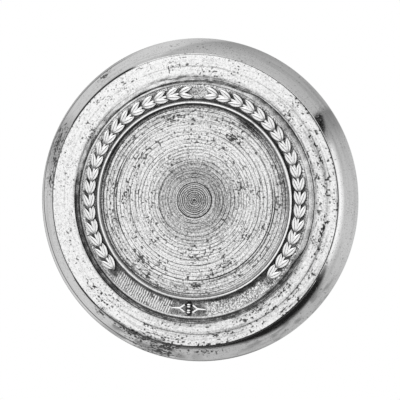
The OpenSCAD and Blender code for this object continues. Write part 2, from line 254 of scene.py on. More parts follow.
class Net:
    """The nodes of a material or of the surroundings, with short ways to add to them."""

    def __init__(self, tree):
        self.tree = tree

    def feed(self, node, values):
        """Feeds a node's sockets with numbers or with other nodes' outputs."""
        for name, value in values.items():
            if isinstance(value, bpy.types.NodeSocket):
                self.tree.links.new(value, node.inputs[name])
            else:
                node.inputs[name].default_value = value

    def add(self, kind, values, out=0, **settings):
        made = self.tree.nodes.new("ShaderNode" + kind)
        for name, value in settings.items():
            setattr(made, name, value)
        self.feed(made, values)
        return made.outputs[out]

    def reckon(self, operation, a, b=0):
        return self.add("Math", {0: a, 1: b}, operation=operation)

    def times(self, a, b):
        return self.reckon("MULTIPLY", a, b)

    def plus(self, a, b):
        return self.reckon("ADD", a, b)

    def less(self, a, b):
        return self.reckon("SUBTRACT", a, b)

    def most(self, a, b):
        return self.reckon("MAXIMUM", a, b)

    def vector(self, operation, a, values, out=0):
        return self.add("VectorMath", {0: a, **values}, out, operation=operation)

    def noise(self, spot, scale, detail, rough=0.5):
        return self.add("TexNoise", {"Vector": spot, "Scale": scale, "Detail": detail, "Roughness": rough})

    def span(self, value, low, high, start=0, end=1, **settings):
        """Maps a value from one span to another and holds it there."""
        ends = {"From Min": low, "From Max": high, "To Min": start, "To Max": end}
        return self.add("MapRange", {"Value": value, **ends}, **settings)

    def ramp(self, fac, *stops):
        """Tones or colours along a factor. Each stop is a place and a tone or a colour."""
        made = self.tree.nodes.new("ShaderNodeValToRGB")
        self.tree.links.new(fac, made.inputs["Fac"])
        band = made.color_ramp.elements
        band[0].position = stops[0][0]
        band[1].position = stops[-1][0]
        for place, _ in stops[1:-1]:
            band.new(place)
        for element, (_, tone) in zip(band, stops):
            element.color = (*np.broadcast_to(tone, 3), 1)
        return made.outputs["Color"]

    def surface(self, colour, rough, height, strength, relief):
        """Gives the material its colour, its roughness, and dents of so many millimetres."""
        bump = self.add("Bump", {"Height": height, "Strength": strength, "Distance": relief * MM})
        self.feed(self.shader, {"Base Color": colour, "Roughness": rough, "Normal": bump})
        return self.material


def blank(name, metallic):
    """A new material: its net, and the place on the object in millimetres."""
    material = bpy.data.materials.new(name)
    material.use_nodes = True
    net = Net(material.node_tree)
    net.material = material
    net.shader = net.tree.nodes["Principled BSDF"]
    net.feed(net.shader, {"Metallic": metallic})
    spot = net.add("TexCoord", {}, out="Object")
    return net, net.vector("SCALE", spot, {"Scale": 1 / MM})


def lathe_lines(net, spot, fineness, length):
    """Noise drawn out round the badge's axis, as a lathe or a polishing wheel leaves it."""
    flat = net.vector("MULTIPLY", spot, {1: (1, 0, 1)})
    ring = net.vector("SCALE", net.vector("NORMALIZE", flat, {}), {"Scale": length})
    r = net.vector("LENGTH", flat, {}, out="Value")
    rise = net.add("CombineXYZ", {"Y": net.times(r, fineness)})
    return net.noise(net.vector("ADD", ring, {1: rise}), 1, 3, 0.6)


def weathered_and_shaded(name, tones, polish, specks=0, turning=0, fineness=3, relief=0.02, grain=0.08):
    """Metal whose tone darkens with the dirt and painted shade on its points, with fine pits and a lathe's
    lines.
    """
    net, spot = blank(name, 1)
    dirt_and_shade = net.add("Attribute", {}, out="Fac", attribute_name="dirt_and_shade")
    lines = net.ramp(lathe_lines(net, spot, fineness, 9), (0.38, 1), (0.56, 0))
    fine = net.ramp(net.noise(spot, 3.4, 2, 0.55), (0.56, 0), (0.69, 1))
    patch = net.ramp(net.noise(spot, 0.22, 3, 0.6), (0.4, 0.15), (0.64, 1))
    flecks = net.times(net.times(fine, patch), specks)
    marks = net.times(lines, turning)
    sand = net.span(net.noise(spot, 3, 1), 0.3, 0.7, -grain, grain)
    darkened = net.plus(net.plus(net.most(dirt_and_shade, flecks), marks), sand)
    colour = net.ramp(darkened, *((i / (len(tones) - 1), tone) for i, tone in enumerate(tones)))
    smear = net.noise(spot, 0.9, 4, 0.65)
    rough = net.span(net.plus(darkened, net.times(smear, 0.25)), 0, 1, *polish)
    dents = net.less(net.times(smear, 0.4), net.plus(flecks, marks))
    return net.surface(colour, rough, dents, 1, relief)


def coat(made, material):
    made.data.materials.clear()
    made.data.materials.append(material)


def fit(made, material, body, slot, *nodes):
    """Finishes a piece: its material, the body that it rides on, and the solids it stands for. Its slot is
    not used.
    """
    coat(made, material)
    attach(made, body)
    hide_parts(*nodes)


def drill(made, spots, radius, low, high):
    """Bores holes through a piece along the badge's axis, at those spots, between two heights."""
    work = bmesh.new()
    for x, z in spots:
        place = Matrix.Translation((x, -(low + high) / 2, z)) @ Matrix.Rotation(pi / 2, 4, "X")
        bmesh.ops.create_cone(work, cap_ends=True, segments=48, radius1=radius, radius2=radius,
                              depth=high - low, matrix=Matrix.Scale(MM, 4) @ place)
    cutter_mesh = bpy.data.meshes.new("bores")
    work.to_mesh(cutter_mesh)
    work.free()
    cutter = placed("bores", cutter_mesh)
    cut = made.modifiers.new("bores", "BOOLEAN")
    cut.operation = "DIFFERENCE"
    cut.solver = "EXACT"
    cut.object = cutter
    result = made.evaluated_get(bpy.context.evaluated_depsgraph_get())
    old = made.data
    made.data = bpy.data.meshes.new_from_object(result)
    made.modifiers.clear()
    made.data.set_sharp_from_angle(angle=radians(38))
    bpy.data.objects.remove(cutter)
    bpy.data.meshes.remove(cutter_mesh)
    bpy.data.meshes.remove(old)


rim_section = section(
    (cover_r + fit_gap, rim_rear), (rim_r - corner, rim_rear, 2), (rim_r, rim_rear + corner),
    *bulge((rim_r, rim_top - flank_rise), (rim_r - flank_w, rim_top), flank_crown, 46),
    (seat_r + 0.03, rim_top), (seat_r, rim_top - 0.03), (seat_r, ledge_top, 2),
    (rim_bore_r, ledge_top), (rim_bore_r, cover_front), (cover_r + fit_gap, cover_front, 2),
)
rim = turned("chromed_rim", rim_section, rim_steps, rim_wear_and_shade)
screw_angles = [radians(60 * i + 30) for i in range(6)]
screw_spots = [(screw_ring_r * cos(a), screw_ring_r * sin(a)) for a in screw_angles]
drill(rim, screw_spots, screw_bore_r, cover_front - 1, cover_front + 1.7)
chrome = weathered_and_shaded("worn_chrome", (0.78, 0.3, 0.03), (0.015, 0.5), specks=0.4, turning=0.04, relief=0.006,
                   grain=0.04)
fit(rim, chrome, "badge", "rim_chrome", "rim")


# Face plate: one disc struck from silvered brass, dropped into the rim. It has a bright flat face, a stepped
# groove, a sunk band whose ground is hatched by hand tools, and the recess for the centre disc.
face_top = -box("face_plate")[0].y
plate_rear = -box("face_plate")[1].y
face_in_r = 30.4
band_r = 29
band_mid_r = 26.65
border_w = 0.42
recess_r = 24.65
plate_hole_r = 2.55
ground_h = face_top - 0.6
groove_h = ground_h - 0.3
recess_h = face_top - 1.9
border_h = ground_h + 0.2
scribe_r = 33
hatch_pitch = 0.66
hatch_lean = tan(radians(22))
edge_break = 0.06
plate_steps = 1600


def face_wear_and_shade(on):
    r, h = on.r, on.h
    front = h > recess_h + 0.4
    patches = (
        (223.5, 33.5, 1.4, 2.6), (227, 33.6, 1.5, 2.8), (230.5, 33.7, 1.3, 2.4), (-47, 34.7, 0.7, 1.5),
        (-29, 34.3, 0.6, 1.2), (-52, 33, 0.9, 2.2), (46, 34.1, 0.7, 1.5), (151, 30.4, 1.3, 2.4),
        (159, 34.6, 0.5, 1), (-101, 34.7, 0.8, 4), (-76, 33.6, 0.5, 3.5), (-108, 33, 0.8, 2.5),
        (95, 33.4, 0.4, 5), (20, 33.2, 0.5, 4), (-12, 32.9, 0.5, 4), (147, 32.2, 1.2, 0.4),
        (-40, 33.8, 0.6, 5), (-55, 31, 0.6, 4), (-93, 34.3, 0.8, 2.5), (45, 31.6, 0.8, 4.5),
        (-42, 31.3, 0.9, 4.5),
    )
    pits = on.corroded(0.25, patches, 11)
    upper_right = on.sector(40, 30, 65)
    right = on.sector(-35, 65, 100)
    right_side = on.sector(20, 38, 50)
    left = on.sector(206, 18, 44)
    low = on.sector(-60, 35, 60)
    top = on.sector(95, 25, 40)
    dots = on.spotted(0.22 + 0.03 * upper_right + 0.02 * right - 0.07 * on.sector(200, 18, 34), 22)
    blotch = on.mottle(0.5, 1.2, 13)
    ragged = on.mottle(9, 0.9, 24)

    worn = 0.15 + 0.4 * low + 1.1 * on.mottle(9, 7, 14) + 0.5 * ragged
    edge = np.clip(1 - (r - face_in_r) / worn, 0, 1)
    scribe_at = scribe_r + 0.22 * (on.sector(-8, 45, 75) - on.sector(-114, 16, 32))
    deep = on.sector(-70, 38, 58) + 0.8 * on.sector(84, 20, 34)
    scribe = on.line(scribe_at, 0.1) * smooth(on.mottle(9, 12, 15), 0.1, 0.5)
    smear = on.line(scribe_at, 0.46) * right * (0.4 + 0.6 * blotch)
    arcs = smooth(on.mottle(0.22, 7, 20), 0.6, 0.85) * (0.3 + 0.7 * right)
    smudge = on.sector(95, 12, 24) * (1 - on.past(face_in_r, 0.3, 0.9))
    soil = on.sector(160, 12, 26) * (1 - on.past(face_in_r, -0.1, 0.5))
    stain = on.past(face_r, -0.6, -0.2) * on.sector(-113, 8, 18) * (0.3 + 0.5 * blotch)
    rubbed = (0.32 + 0.06 * right) * edge * blotch + 0.1 * low * edge + 0.3 * smudge * blotch
    eaten = 0.66 + 0.24 * on.sector(227, 6, 12)
    face_dirt = np.max([eaten * pits, 0.66 * dots, rubbed], axis=0) + 0.06 * low + 0.05 * upper_right
    face_dirt += (0.2 + 0.25 * deep) * scribe + 0.28 * smear + 0.2 * arcs + 0.22 * soil + stain
    face_lift = -0.05 * pits - 0.16 * (1 - 0.6 * top) * edge ** 2 - 0.02 * scribe

    below = on.sector(-76, 46, 64)
    slope_r = band_r + 0.4 + 0.5 * below + 0.4 * on.sector(74, 8, 18) - 0.2 * right_side
    slope = smooth(r + 0.3 * (ragged - 0.5), slope_r, slope_r + 0.3)
    # Painted shade in the groove between face and band: darker on the left and below, and lighter up its
    # outer wall elsewhere, where that wall faces the light. The blotches are dirt.
    groove_dirt_and_shade = 0.4 + 0.3 * blotch + 0.14 * left + 0.1 * below + 0.12 * soil
    groove_dirt_and_shade = np.maximum(groove_dirt_and_shade - 0.38 * slope * (1 - left) * (1 - 0.4 * low), 0.66 * pits)
    fill = 0.12 * (1 - left) * on.line(face_in_r - 0.42, 0.12)
    bridge = np.maximum(on.sector(121, 14, 24), 0.75 * right_side) * on.past(band_r, 0.28, 0.42)
    fill = np.maximum(fill, bridge * (face_top - 0.2 - h))
    slant = on.sector(152, 14, 26) * on.past(band_r, 0.05, 0.2)
    slant_h = groove_h + 0.4 + 0.3 * (r - band_r) / (face_in_r - band_r)
    fill = np.where(h < slant_h, np.maximum(fill, slant * (slant_h - h)), fill)

    band_lift, band_dirt_and_shade = hatched(on, blotch)
    border = r >= band_r - border_w - 0.01
    # Painted shade on the raised border line: darker along its outer edge at the top, where it catches no
    # light, and on its shelf at the right. It is also darker at the left and the lower right, and its
    # blotches are dirt.
    arris = on.past(band_r, -0.4, -0.09) * (on.sector(46, 12, 24) + on.sector(92, 10, 20))
    shelf = on.past(band_r, -0.2, -0.09) * right_side
    border_dirt_and_shade = 0.06 + 0.25 * blotch + 0.3 * arris + 0.2 * shelf
    border_dirt_and_shade += 0.22 * on.sector(195, 20, 40) + 0.32 * on.sector(-37, 10, 20)
    band_lift = np.where(border, 0, band_lift)
    band_dirt_and_shade = np.where(border, border_dirt_and_shade, band_dirt_and_shade)

    grow = (0.06 + 0.84 * right_side + 0.12 * on.sector(76, 12, 24)) * (1 - left)
    grow *= on.past(band_r, -0.15, -0.09)
    grow *= np.clip((face_in_r - r) / (face_in_r - band_r - 0.12), 0, 1)
    on_face = r >= face_in_r - 0.01
    in_groove = (r < face_in_r) & (r > band_r)
    lift = np.where(on_face, face_lift, np.where(in_groove, fill, band_lift))
    darkened = np.where(on_face, face_dirt, np.where(in_groove, groove_dirt_and_shade, band_dirt_and_shade))
    return np.where(front, grow, 0), np.where(front, lift, 0), np.where(front, darkened, 0.5)


def hatched(on, blotch):
    """Height and darkening of the band's ground: strokes and stipple below, dark fields round the ornament,
    with painted shade along the bead's foot and round the pellets.
    """
    r, angle = on.r, on.angle
    below = on.sector(-90, 40, 46)
    divider_field = on.sector(-90, 8, 11)
    wander = on.mottle(0.8, 1.7, 16) - 0.5
    count = round(2 * pi * (band_r - 2) / hatch_pitch)
    lean = np.clip((on.degrees_from(-90) - 22) / 25, -0.6, 1) * hatch_lean
    stroke = np.cos(count * (angle - lean * (r - recess_r) / band_mid_r) + 2.6 * wander)
    gaps = 0.05 + 0.12 * on.sector(-98, 8, 18)
    stroke = smooth(stroke, -0.5, 0.1) * smooth(on.mottle(0.5, 0.6, 17) - gaps, 0, 0.25)
    worm = smooth(on.mottle(0.17, 0.19, 18), 0.33, 0.62)
    struck = np.where(on.degrees_from(-118) < 20, stroke, worm) * below * (1 - divider_field)
    open_field = smooth(on.mottle(2, 5, 19), 0.45, 0.7)
    ground = worm * (0.12 + 0.4 * open_field) + on.past(band_mid_r, 0.8, 1.4) * (0.15 + 0.35 * worm)
    bare = on.sector(90, 4, 8)
    ground = np.maximum(ground, bare * (0.15 + 0.6 * worm))
    # Painted shade along the bead's foot: the ground there is darkened, partly as dirt, in a strip that is
    # widest at the lower right.
    wider = 0.4 * on.sector(-59, 7, 14)
    near_bead = 1 - on.past(recess_r, 0.3 + wider, 0.5 + 0.6 * on.sector(-75, 60, 110) + wider)
    raised = (struck + (1 - below) * ground + 0.25 * divider_field * worm) * (1 - near_bead)
    sprigs = (1 - below) * (1 - bare) * (1 - smooth(np.abs(r - band_mid_r), 1.2, 1.7))
    bold = below * (1 - divider_field) * on.past(band_mid_r, -1.2, 0.6)
    # Painted shade and dirt: a dark field round the divider's pellets.
    off_pellets = np.hypot(r * np.cos(angle) / 0.95, (r * np.sin(angle) + band_mid_r) / 1.9)
    dirt_and_shade = 0.62 - 0.62 * raised + 0.16 * near_bead + 0.2 * sprigs + 0.25 * (blotch - 0.5)
    dirt_and_shade += 0.35 * (1 - smooth(off_pellets, 0.85, 1.1)) - 0.14 * bold
    return 0.1 * raised, np.clip(dirt_and_shade, 0, 1)


face_section = section(
    (rim_bore_r - fit_gap, plate_rear, 2), (rim_bore_r - fit_gap, ledge_top), (face_r, ledge_top),
    (face_r, face_top - edge_break, 3), (face_r - edge_break, face_top), (face_in_r, face_top, 36),
    (face_in_r - 0.22, groove_h + 0.12, 4), (face_in_r - 0.42, groove_h, 2),
    (face_in_r - 0.55, groove_h + 0.2, 2), (band_r + 0.4, groove_h + 0.2, 2),
    (band_r + 0.28, groove_h, 2), (band_r + 0.12, groove_h + 0.02, 2),
    (band_r, border_h - 0.04, 3), (band_r - 0.08, border_h),
    (band_r - border_w + 0.08, border_h, 2), (band_r - border_w, border_h - 0.05),
    (band_r - border_w - 0.05, ground_h), (recess_r, ground_h, 28),
    (recess_r, recess_h, 3), (plate_hole_r, recess_h, 2), (plate_hole_r, plate_rear),
)
face_plate = turned("struck_face_plate", face_section, plate_steps, face_wear_and_shade)
struck_silver = weathered_and_shaded("struck_silver", (0.96, 0.54, 0.15, 0.02), (0.24, 0.6), specks=0.6, turning=0.07,
                          relief=0.02, grain=0.12)
fit(face_plate, struck_silver, "badge", "struck_face", "face_plate")


# Laurel sprigs and divider: raised ornament cut from silvered brass, soldered to the band's ground and filed
# bright on top. Each stroke has steep dark sides and a crowned top, and the leaves run out to points.
relief_h = 0.75
leaf_pairs = 18
leaf_l = 3.9
leaf_w = 1.35
leaf_splay = radians(24)
leaf_curl = 0.22
stem_w = 0.6
stem_points = 90
sprig_start = 43
sprig_arc = 122
stem_r = band_mid_r - (leaf_l * cos(leaf_splay)) ** 2 / (2 * band_mid_r)
ribbed_top = ((-1, 0), (-1, 0.55), (-0.9, 0.93), (-0.66, 1), (-0.16, 1), (0, 0.8),
              (0.16, 1), (0.66, 1), (0.9, 0.93), (1, 0.55), (1, 0))
plain_top = ((-1, 0), (-0.97, 0.8), (-0.82, 0.96), (-0.5, 1), (0.5, 1), (0.82, 0.96), (0.97, 0.8), (1, 0))
hands = ((-1, "left"), (1, "right"))


def sideways(path):
    """Unit vectors square to a path, on its left."""
    along = np.gradient(path, axis=0)
    along /= np.hypot(*along.T)[:, None]
    return np.stack([-along[:, 1], along[:, 0]], axis=-1)


def skin(first, loops, across):
    """Faces over loops of so many points each, from the first point on, and over both ends."""
    last = first + (loops - 1) * across
    faces = [range(first, first + across), range(last, last + across)]
    for start in range(first, last, across):
        for j in range(across):
            a, b = start + j, start + (j + 1) % across
            faces.append((a, b, b + across, a + across))
    return faces


def outward(made):
    """Turns all faces of a piece outward."""
    return rework(made, lambda work: bmesh.ops.recalc_face_normals(work, faces=work.faces))


class Relief:
    """Gathers raised strokes on the band's ground into one piece."""

    def __init__(self):
        self.places = []
        self.faces = []
        self.dirt_and_shade = []

    def stroke(self, path, widths, height, top, darkened=0):
        """A stroke along a path of x and z points, with its width, height and dirt at each of them."""
        path, widths = np.array(path), np.array(widths)
        height, darkened = np.broadcast_to(height, widths.shape), np.broadcast_to(darkened, widths.shape)
        self.faces += skin(len(self.places), len(path), len(top))
        for point, normal, width, tall, dirt_and_shade in zip(path, sideways(path), widths, height, darkened):
            for v, up in top:
                x, z = point + normal * v * width / 2
                self.places.append((x, -(ground_h - 0.02 + up * tall), z))
                self.dirt_and_shade.append(0.75 if up < 0.6 else max(dirt_and_shade, 0.35 * (v == 0 and up < 0.9)))

    def made(self, name):
        return outward(piece(name, self.places, self.faces, self.dirt_and_shade, crease=50))


def sprig(name, side):
    """One sprig up the right side of the band, or its mirror image for side -1."""
    relief = Relief()
    stem_angles = np.radians(np.linspace(-sprig_start, sprig_arc - sprig_start, stem_points))
    stem = np.stack([side * stem_r * np.cos(stem_angles), stem_r * np.sin(stem_angles)], axis=-1)
    relief.stroke(stem, np.full(stem_points, stem_w), 0.62 * relief_h, plain_top)
    t = np.linspace(0, 1, 15)
    step = leaf_l / (len(t) - 1)
    lens = np.sin(pi * t) ** 0.72 * leaf_w + 0.04
    tall = relief_h * (0.8 + 0.2 * np.sin(pi * t))
    darkened = 0.04 + 0.4 * (1 - smooth(t, 0.04, 0.3)) + 0.2 * smooth(t, 0.9, 1)
    rng = np.random.default_rng(21 + side)
    for i in range(leaf_pairs):
        at = radians(-sprig_start + i * sprig_arc / (leaf_pairs - 1))
        for lean in (-1, 1):
            heading = at + pi / 2 + lean * leaf_splay
            heading = heading - lean * leaf_curl * t + rng.normal(0, 0.015)
            x = stem_r * cos(at) + np.concatenate([[0], np.cumsum(step * np.cos(heading[:-1]))])
            z = stem_r * sin(at) + np.concatenate([[0], np.cumsum(step * np.sin(heading[:-1]))])
            leaf = np.stack([side * x, z], axis=-1)
            relief.stroke(leaf, lens * rng.uniform(0.94, 1), tall, ribbed_top, darkened)
    return relief.made(name)


filed = weathered_and_shaded("filed_silver", (0.97, 0.52, 0.08, 0.02), (0.2, 0.6), specks=0.25, turning=0.03,
                  relief=0.012)
for side, word in hands:
    leaves = sprig("laurel_sprig_" + word, side)
    fit(leaves, filed, "badge", "raised_ornament", "laurel_" + word)

dart_l = 2.2
dart_w = 0.58
prong_l = 1.25
fork_x = 2.2
pellet_d = 0.95
pellet_spacing = 1.4
divider = Relief()
t = np.linspace(0, 1, 8)
for side in (-1, 1):
    tail = [(side * (fork_x + dart_l * along), -band_mid_r) for along in t]
    divider.stroke(tail, dart_w * (0.95 - 0.4 * t), relief_h, plain_top)
    for up, height in ((-1, 0.96 * relief_h), (1, 0.98 * relief_h)):
        x = side * (fork_x + 0.15 - prong_l * 1.05 * t)
        z = -band_mid_r + up * (0.05 + prong_l * 0.68 * t ** 1.2)
        divider.stroke(np.stack([x, z], axis=-1), dart_w * (0.75 + 0.1 * t), height, plain_top)
    for half in (-1, 1):
        z = -band_mid_r + side * pellet_spacing / 2 + half * 0.27 * pellet_d
        bar = np.linspace(-0.42, 0.42, 7) * pellet_d
        width = 0.48 * pellet_d * np.array([0.45, 0.85, 1, 1, 1, 0.85, 0.45])
        divider.stroke([(x, z) for x in bar], width, relief_h, plain_top)
fit(divider.made("divider_relief"), filed, "badge", "raised_ornament", "divider_ornament")


# Half-round bead: a ring of drawn wire pressed between the face plate and the centre disc. It stands highest
# of all. Its crown keeps a bright painted highlight, and its shoulders and foot are darkened by painted shade
# and dirt.
bead_out_r = box("bead_ring")[1].x
bead_top = -box("bead_ring")[0].y
bead_w = 1.1
bead_r = bead_out_r - bead_w / 2
bead_steps = 720


def bead_shade_and_wear(on):
    r, h = on.r, on.h
    near = on.sector(-52, 40, 80)
    lean = on.sector(-32, 18, 52)
    # Painted highlight: the bright line on the crown moves outward at the lower right and inward at the upper
    # left. The shoulders on either side of it are painted shade, darker inside at the top.
    bright_r = bead_r + (0.13 + 0.17 * np.cos(on.angle + radians(47))) * (1 - lean) + 0.05 * lean
    broad = 0.07 * on.sector(-30, 50, 80)
    inner = smooth(bright_r - r - broad, 0.08, 0.2)
    outer = smooth(r - bright_r - broad, 0.12, 0.22)
    # Painted shade: a dark line on the inner slope, stronger at the lower right, and a dark foot, except
    # inside at the lower right.
    seat = on.line(bead_r - 0.36 + 0.13 * near, 0.14 - 0.04 * near) * (0.25 + 0.22 * near)
    foot = smooth(bead_top - h, 0.2, 0.45) * np.where(r < bead_r, 1 - near, 1)
    nicks = smooth(on.mottle(0.4, 0.9, 31), 0.8, 1)
    dirt_and_shade = inner * (0.3 + 0.25 * on.sector(105, 45, 75)) + 0.5 * outer + seat + 0.3 * foot + 0.25 * nicks
    height = np.clip(1 - (bead_top - h) / (bead_w / 2), 0, 1)
    return 0.3 * lean * height ** 2, -0.03 * nicks, np.minimum(dirt_and_shade, 0.95)


crown = [
    (bead_r + bead_w / 2 * np.sign(c) * abs(c) ** 0.8, bead_top - bead_w / 2 * (1 - s ** 0.8))
    for c, s in ((cos(a), sin(a)) for a in np.linspace(0, pi, 41))
]
bead_section = section((bead_r - bead_w / 2, recess_h), (bead_r + bead_w / 2, recess_h), *crown)
bead = turned("half_round_bead", bead_section, bead_steps, bead_shade_and_wear)
bright = weathered_and_shaded("rubbed_silver", (0.97, 0.52, 0.1, 0.02), (0.18, 0.6), specks=0.2, relief=0.01)
fit(bead, bright, "badge", "bead_metal", "bead_ring")


# Centre disc: thick sheet turned on a lathe into a shallow dish, with uneven rings of tool marks, a plain
# strip under the bead, and corrosion pits. The flush rivet in its middle was turned along with it.
disc_r = box("centre_disc")[1].x
dish_h = recess_h + 1.1
dish_depth = 0.6
rivet_r = box("centre_rivet")[1].x
rivet_seat_r = rivet_r + fit_gap
rivet_neck_r = 3.45
main_groove_r = 20
dish_steps = 1000


def dish_wear_and_shade(on):
    front = on.h > recess_h + 0.5
    patches = (
        (145, 17.5, 1.1, 1.8), (181, 17.5, 1.3, 3), (-33, 15.2, 1, 1.6), (-86, 20.9, 0.9, 1.6),
        (-86, 14.3, 0.8, 1.8), (18, 12, 0.9, 1.5), (14, 22, 0.7, 1.5), (105, 21, 0.8, 3),
        (60, 18, 1, 3), (230, 19.5, 0.9, 3), (-60, 17, 1.2, 2.5),
    )
    pits = on.corroded(0.3, patches, 41)
    rings = on.rings(0.86, 0.9 * on.mottle(1.6, 40, 43), 0.5, 0.95) * (0.3 + 0.9 * on.mottle(0.7, 7, 48))
    finer = on.rings(0.42, 0.8 * on.mottle(1.1, 25, 47), 0.4, 0.95) * on.mottle(0.5, 9, 49)
    broken = smooth(on.mottle(0.18, 4, 44), 0.6, 0.8)
    patchy = 0.4 + 0.6 * on.mottle(30, 9, 45)
    heavy = on.sector(-35, 35, 60) + on.sector(178, 20, 40)
    groove = on.line(main_groove_r - 0.26, 0.12) + 0.8 * heavy * on.line(main_groove_r + 0.2, 0.1)
    groove *= 0.5 * patchy + 0.75 * heavy
    core = 1 - on.past(0, 6.5, 12.5)
    strip = on.past(main_groove_r, 0.4, 0.9)
    dots = on.spotted(0.27 + 0.05 * strip - 0.07 * core, 42)
    top = on.sector(105, 45, 70)
    left = on.sector(205, 40, 60)
    right = on.sector(28, 25, 42)
    # Painted shade along the dish's edge under the bead, widest at the upper right and darkest at the top,
    # with a faint painted shade over the lower right.
    shade_w = 0.4 + 0.3 * top + 0.7 * left + 1.7 * right
    shade = smooth((on.r - disc_r) / shade_w, -1, -0.3) * (0.05 + 0.4 * top + 0.22 * left + 0.2 * right)
    shade += 0.035 * on.sector(-45, 40, 80) * (1 - core)
    dimmed = 0.24 + 0.09 * on.sector(55, 60, 100)
    fade = on.past(0, 8, 9.5) * (1 - on.past(0, 10, 13))
    # Painted highlight: a lighter line just outside the rivet, strongest at the lower right.
    rivet_highlight = on.line(rivet_r + 0.35, 0.2) * (1 + 1.5 * on.sector(-45, 20, 60))
    dirt_and_shade = (0.45 - 0.16 * core) * rings + (0.3 + 0.1 * core) * finer + 0.1 * broken + 0.75 * groove
    dirt_and_shade += dimmed * core + 0.05 * fade + 0.1 * strip + shade - 0.14 * rivet_highlight
    dirt_and_shade = np.max([dirt_and_shade, 0.72 * pits, 0.62 * dots], axis=0)
    lift = -0.03 * rings - 0.015 * finer - 0.07 * groove - 0.04 * pits
    return 0, np.where(front, lift, 0), np.where(front, np.minimum(dirt_and_shade, 0.95), 0.4)


def dish_run(start, end, steps):
    """Runs along the dish's surface from one radius to another."""
    return [(r, dish_h + dish_depth * (r / disc_r) ** 2) for r in np.linspace(start, end, steps + 1)]


dish_section = section(
    (rivet_neck_r, recess_h), (disc_r, recess_h),
    *dish_run(disc_r, rivet_seat_r + 0.12, 220), (rivet_seat_r, dish_h - 0.12),
)
dish = turned("turned_dish", dish_section, dish_steps, dish_wear_and_shade)
spun = weathered_and_shaded("spun_silver", (0.96, 0.54, 0.15, 0.02), (0.26, 0.6), specks=0.6, turning=0.1, fineness=2.4,
                 relief=0.02, grain=0.19)
fit(dish, spun, "badge", "turned_disc", "centre_disc")


# Rivet: a brass rivet through the middle of the badge. Its countersunk head was turned flush with the dish,
# and its tail is spread into the back cover. The lathe's centre left a small pip.
rivet_rear = -box("centre_rivet")[1].y
shank_r = 2.5
tail_flare = 0.75
rivet_steps = 180


def rivet_wear(on):
    front = on.h > dish_h - 0.2
    rings = on.rings(0.45, 0.7 * on.mottle(0.9, 5, 61), -0.1, 0.9) * (0.3 + 0.9 * on.mottle(0.5, 1.4, 62))
    pip = on.line(0, 0.22)
    collar = on.line(0.75, 0.12)
    right = on.sector(-40, 85, 125)
    edge = on.past(rivet_r, -0.12 - 0.14 * right, -0.1 * right)
    second = on.line(rivet_r - 0.4, 0.07) * on.sector(180, 40, 75)
    lift = -0.03 * rings - 0.12 * pip - 0.03 * collar
    dirt_and_shade = 0.33 + 0.75 * rings + 0.3 * pip + 0.15 * collar + 0.4 * edge + 0.35 * second
    dirt_and_shade -= 0.1 * on.past(0, 2.7, 3.6)
    return 0, np.where(front, lift, 0), np.where(front, dirt_and_shade, 0.4)


rivet_section = section(
    (0, rivet_rear), (shank_r + tail_flare, rivet_rear, 2), (shank_r, rivet_rear + tail_flare),
    (shank_r, recess_h), (rivet_neck_r - fit_gap, recess_h), (rivet_r - 0.02, dish_h - 0.1),
    (rivet_r - 0.12, dish_h), (0, dish_h, 48),
)
rivet = turned("flush_rivet", rivet_section, rivet_steps, rivet_wear)
fit(rivet, spun, "badge", "rivet_metal", "centre_rivet")


# Packing and back cover: a red fibre disc that fills the hollow behind the plate, and the lacquered brass
# disc that closes the rim from behind. Six slotted brass screws hold it.
def soften(name, width):
    """Rounds the sharp edges of a piece that keeps the shape it was cut to."""
    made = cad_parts[name]
    weld = made.modifiers.new("joined", "WELD")
    weld.merge_threshold = 0.0005 * MM
    edge = made.modifiers.new("edges", "BEVEL")
    edge.width = width * MM
    edge.segments = 2
    edge.limit_method = "ANGLE"
    edge.angle_limit = radians(40)


def pressed_fibre(name):
    """Matt vulcanised fibre with a mottle of darker flecks."""
    net, spot = blank(name, 0)
    fleck = net.noise(spot, 1.2, 6, 0.7)
    colour = net.ramp(fleck, (0.3, (0.16, 0.05, 0.03)), (0.6, (0.34, 0.12, 0.06)))
    return net.surface(colour, 0.8, fleck, 0.6, 0.05)


def old_brass(name, lighter, darkened, polish, relief, slot_shade_from=None):
    """Brass that has browned in patches and blackened in threads, with painted shade in its slots from a
    height inward.
    """
    net, spot = blank(name, 1)
    grain = net.noise(spot, 4, 3, 0.6)
    darkness = net.plus(net.times(net.noise(spot, 0.35, 6, 0.65), 0.8), net.times(grain, 0.25))
    black = net.add("Attribute", {}, out="Fac", attribute_name="dirt_and_shade")
    if slot_shade_from is not None:
        inward = net.add("SeparateXYZ", {"Vector": spot}, out="Y")
        black = net.span(inward, -slot_shade_from - 0.1, -slot_shade_from - 0.3)
    darkness = net.plus(darkness, black)
    colour = net.ramp(darkness, (0.34, lighter), (0.72, darkened), (1, (0.03, 0.02, 0.01)))
    return net.surface(colour, net.span(darkness, 0.3, 0.7, *polish), grain, 0.6, relief)


lacquered = old_brass("lacquered_brass", (0.52, 0.38, 0.17), (0.27, 0.18, 0.07), (0.28, 0.5), 0.02)
# The screws get painted shade in their slots, inward of the rim's rear face.
turned_brass = old_brass("turned_brass", (0.8, 0.65, 0.36), (0.54, 0.4, 0.2), (0.2, 0.4), 0.01, rim_rear)
coat(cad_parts["packing_disc"], pressed_fibre("red_fibre"))
coat(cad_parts["back_cover"], lacquered)
coat(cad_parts["cover_screws"], turned_brass)
soften("cover_screws", 0.14)
soften("back_cover", 0.1)


# Studs: brass studs held by a flange under the face plate and a square neck in the back cover. Behind the
# shank a rolled thread of 0.8 mm pitch runs to a chamfered end.
stud_low, stud_high = box("stud_right")
stud_x = (stud_low.x + stud_high.x) / 2
flange_r = stud_high.x - stud_x
flange_top = -stud_low.y
stud_end = -stud_high.y
stud_r = 2.5
thread_r = 2.45
thread_depth = 0.48
pitch = 0.8
shank_end = -9.2
stud_steps = 48


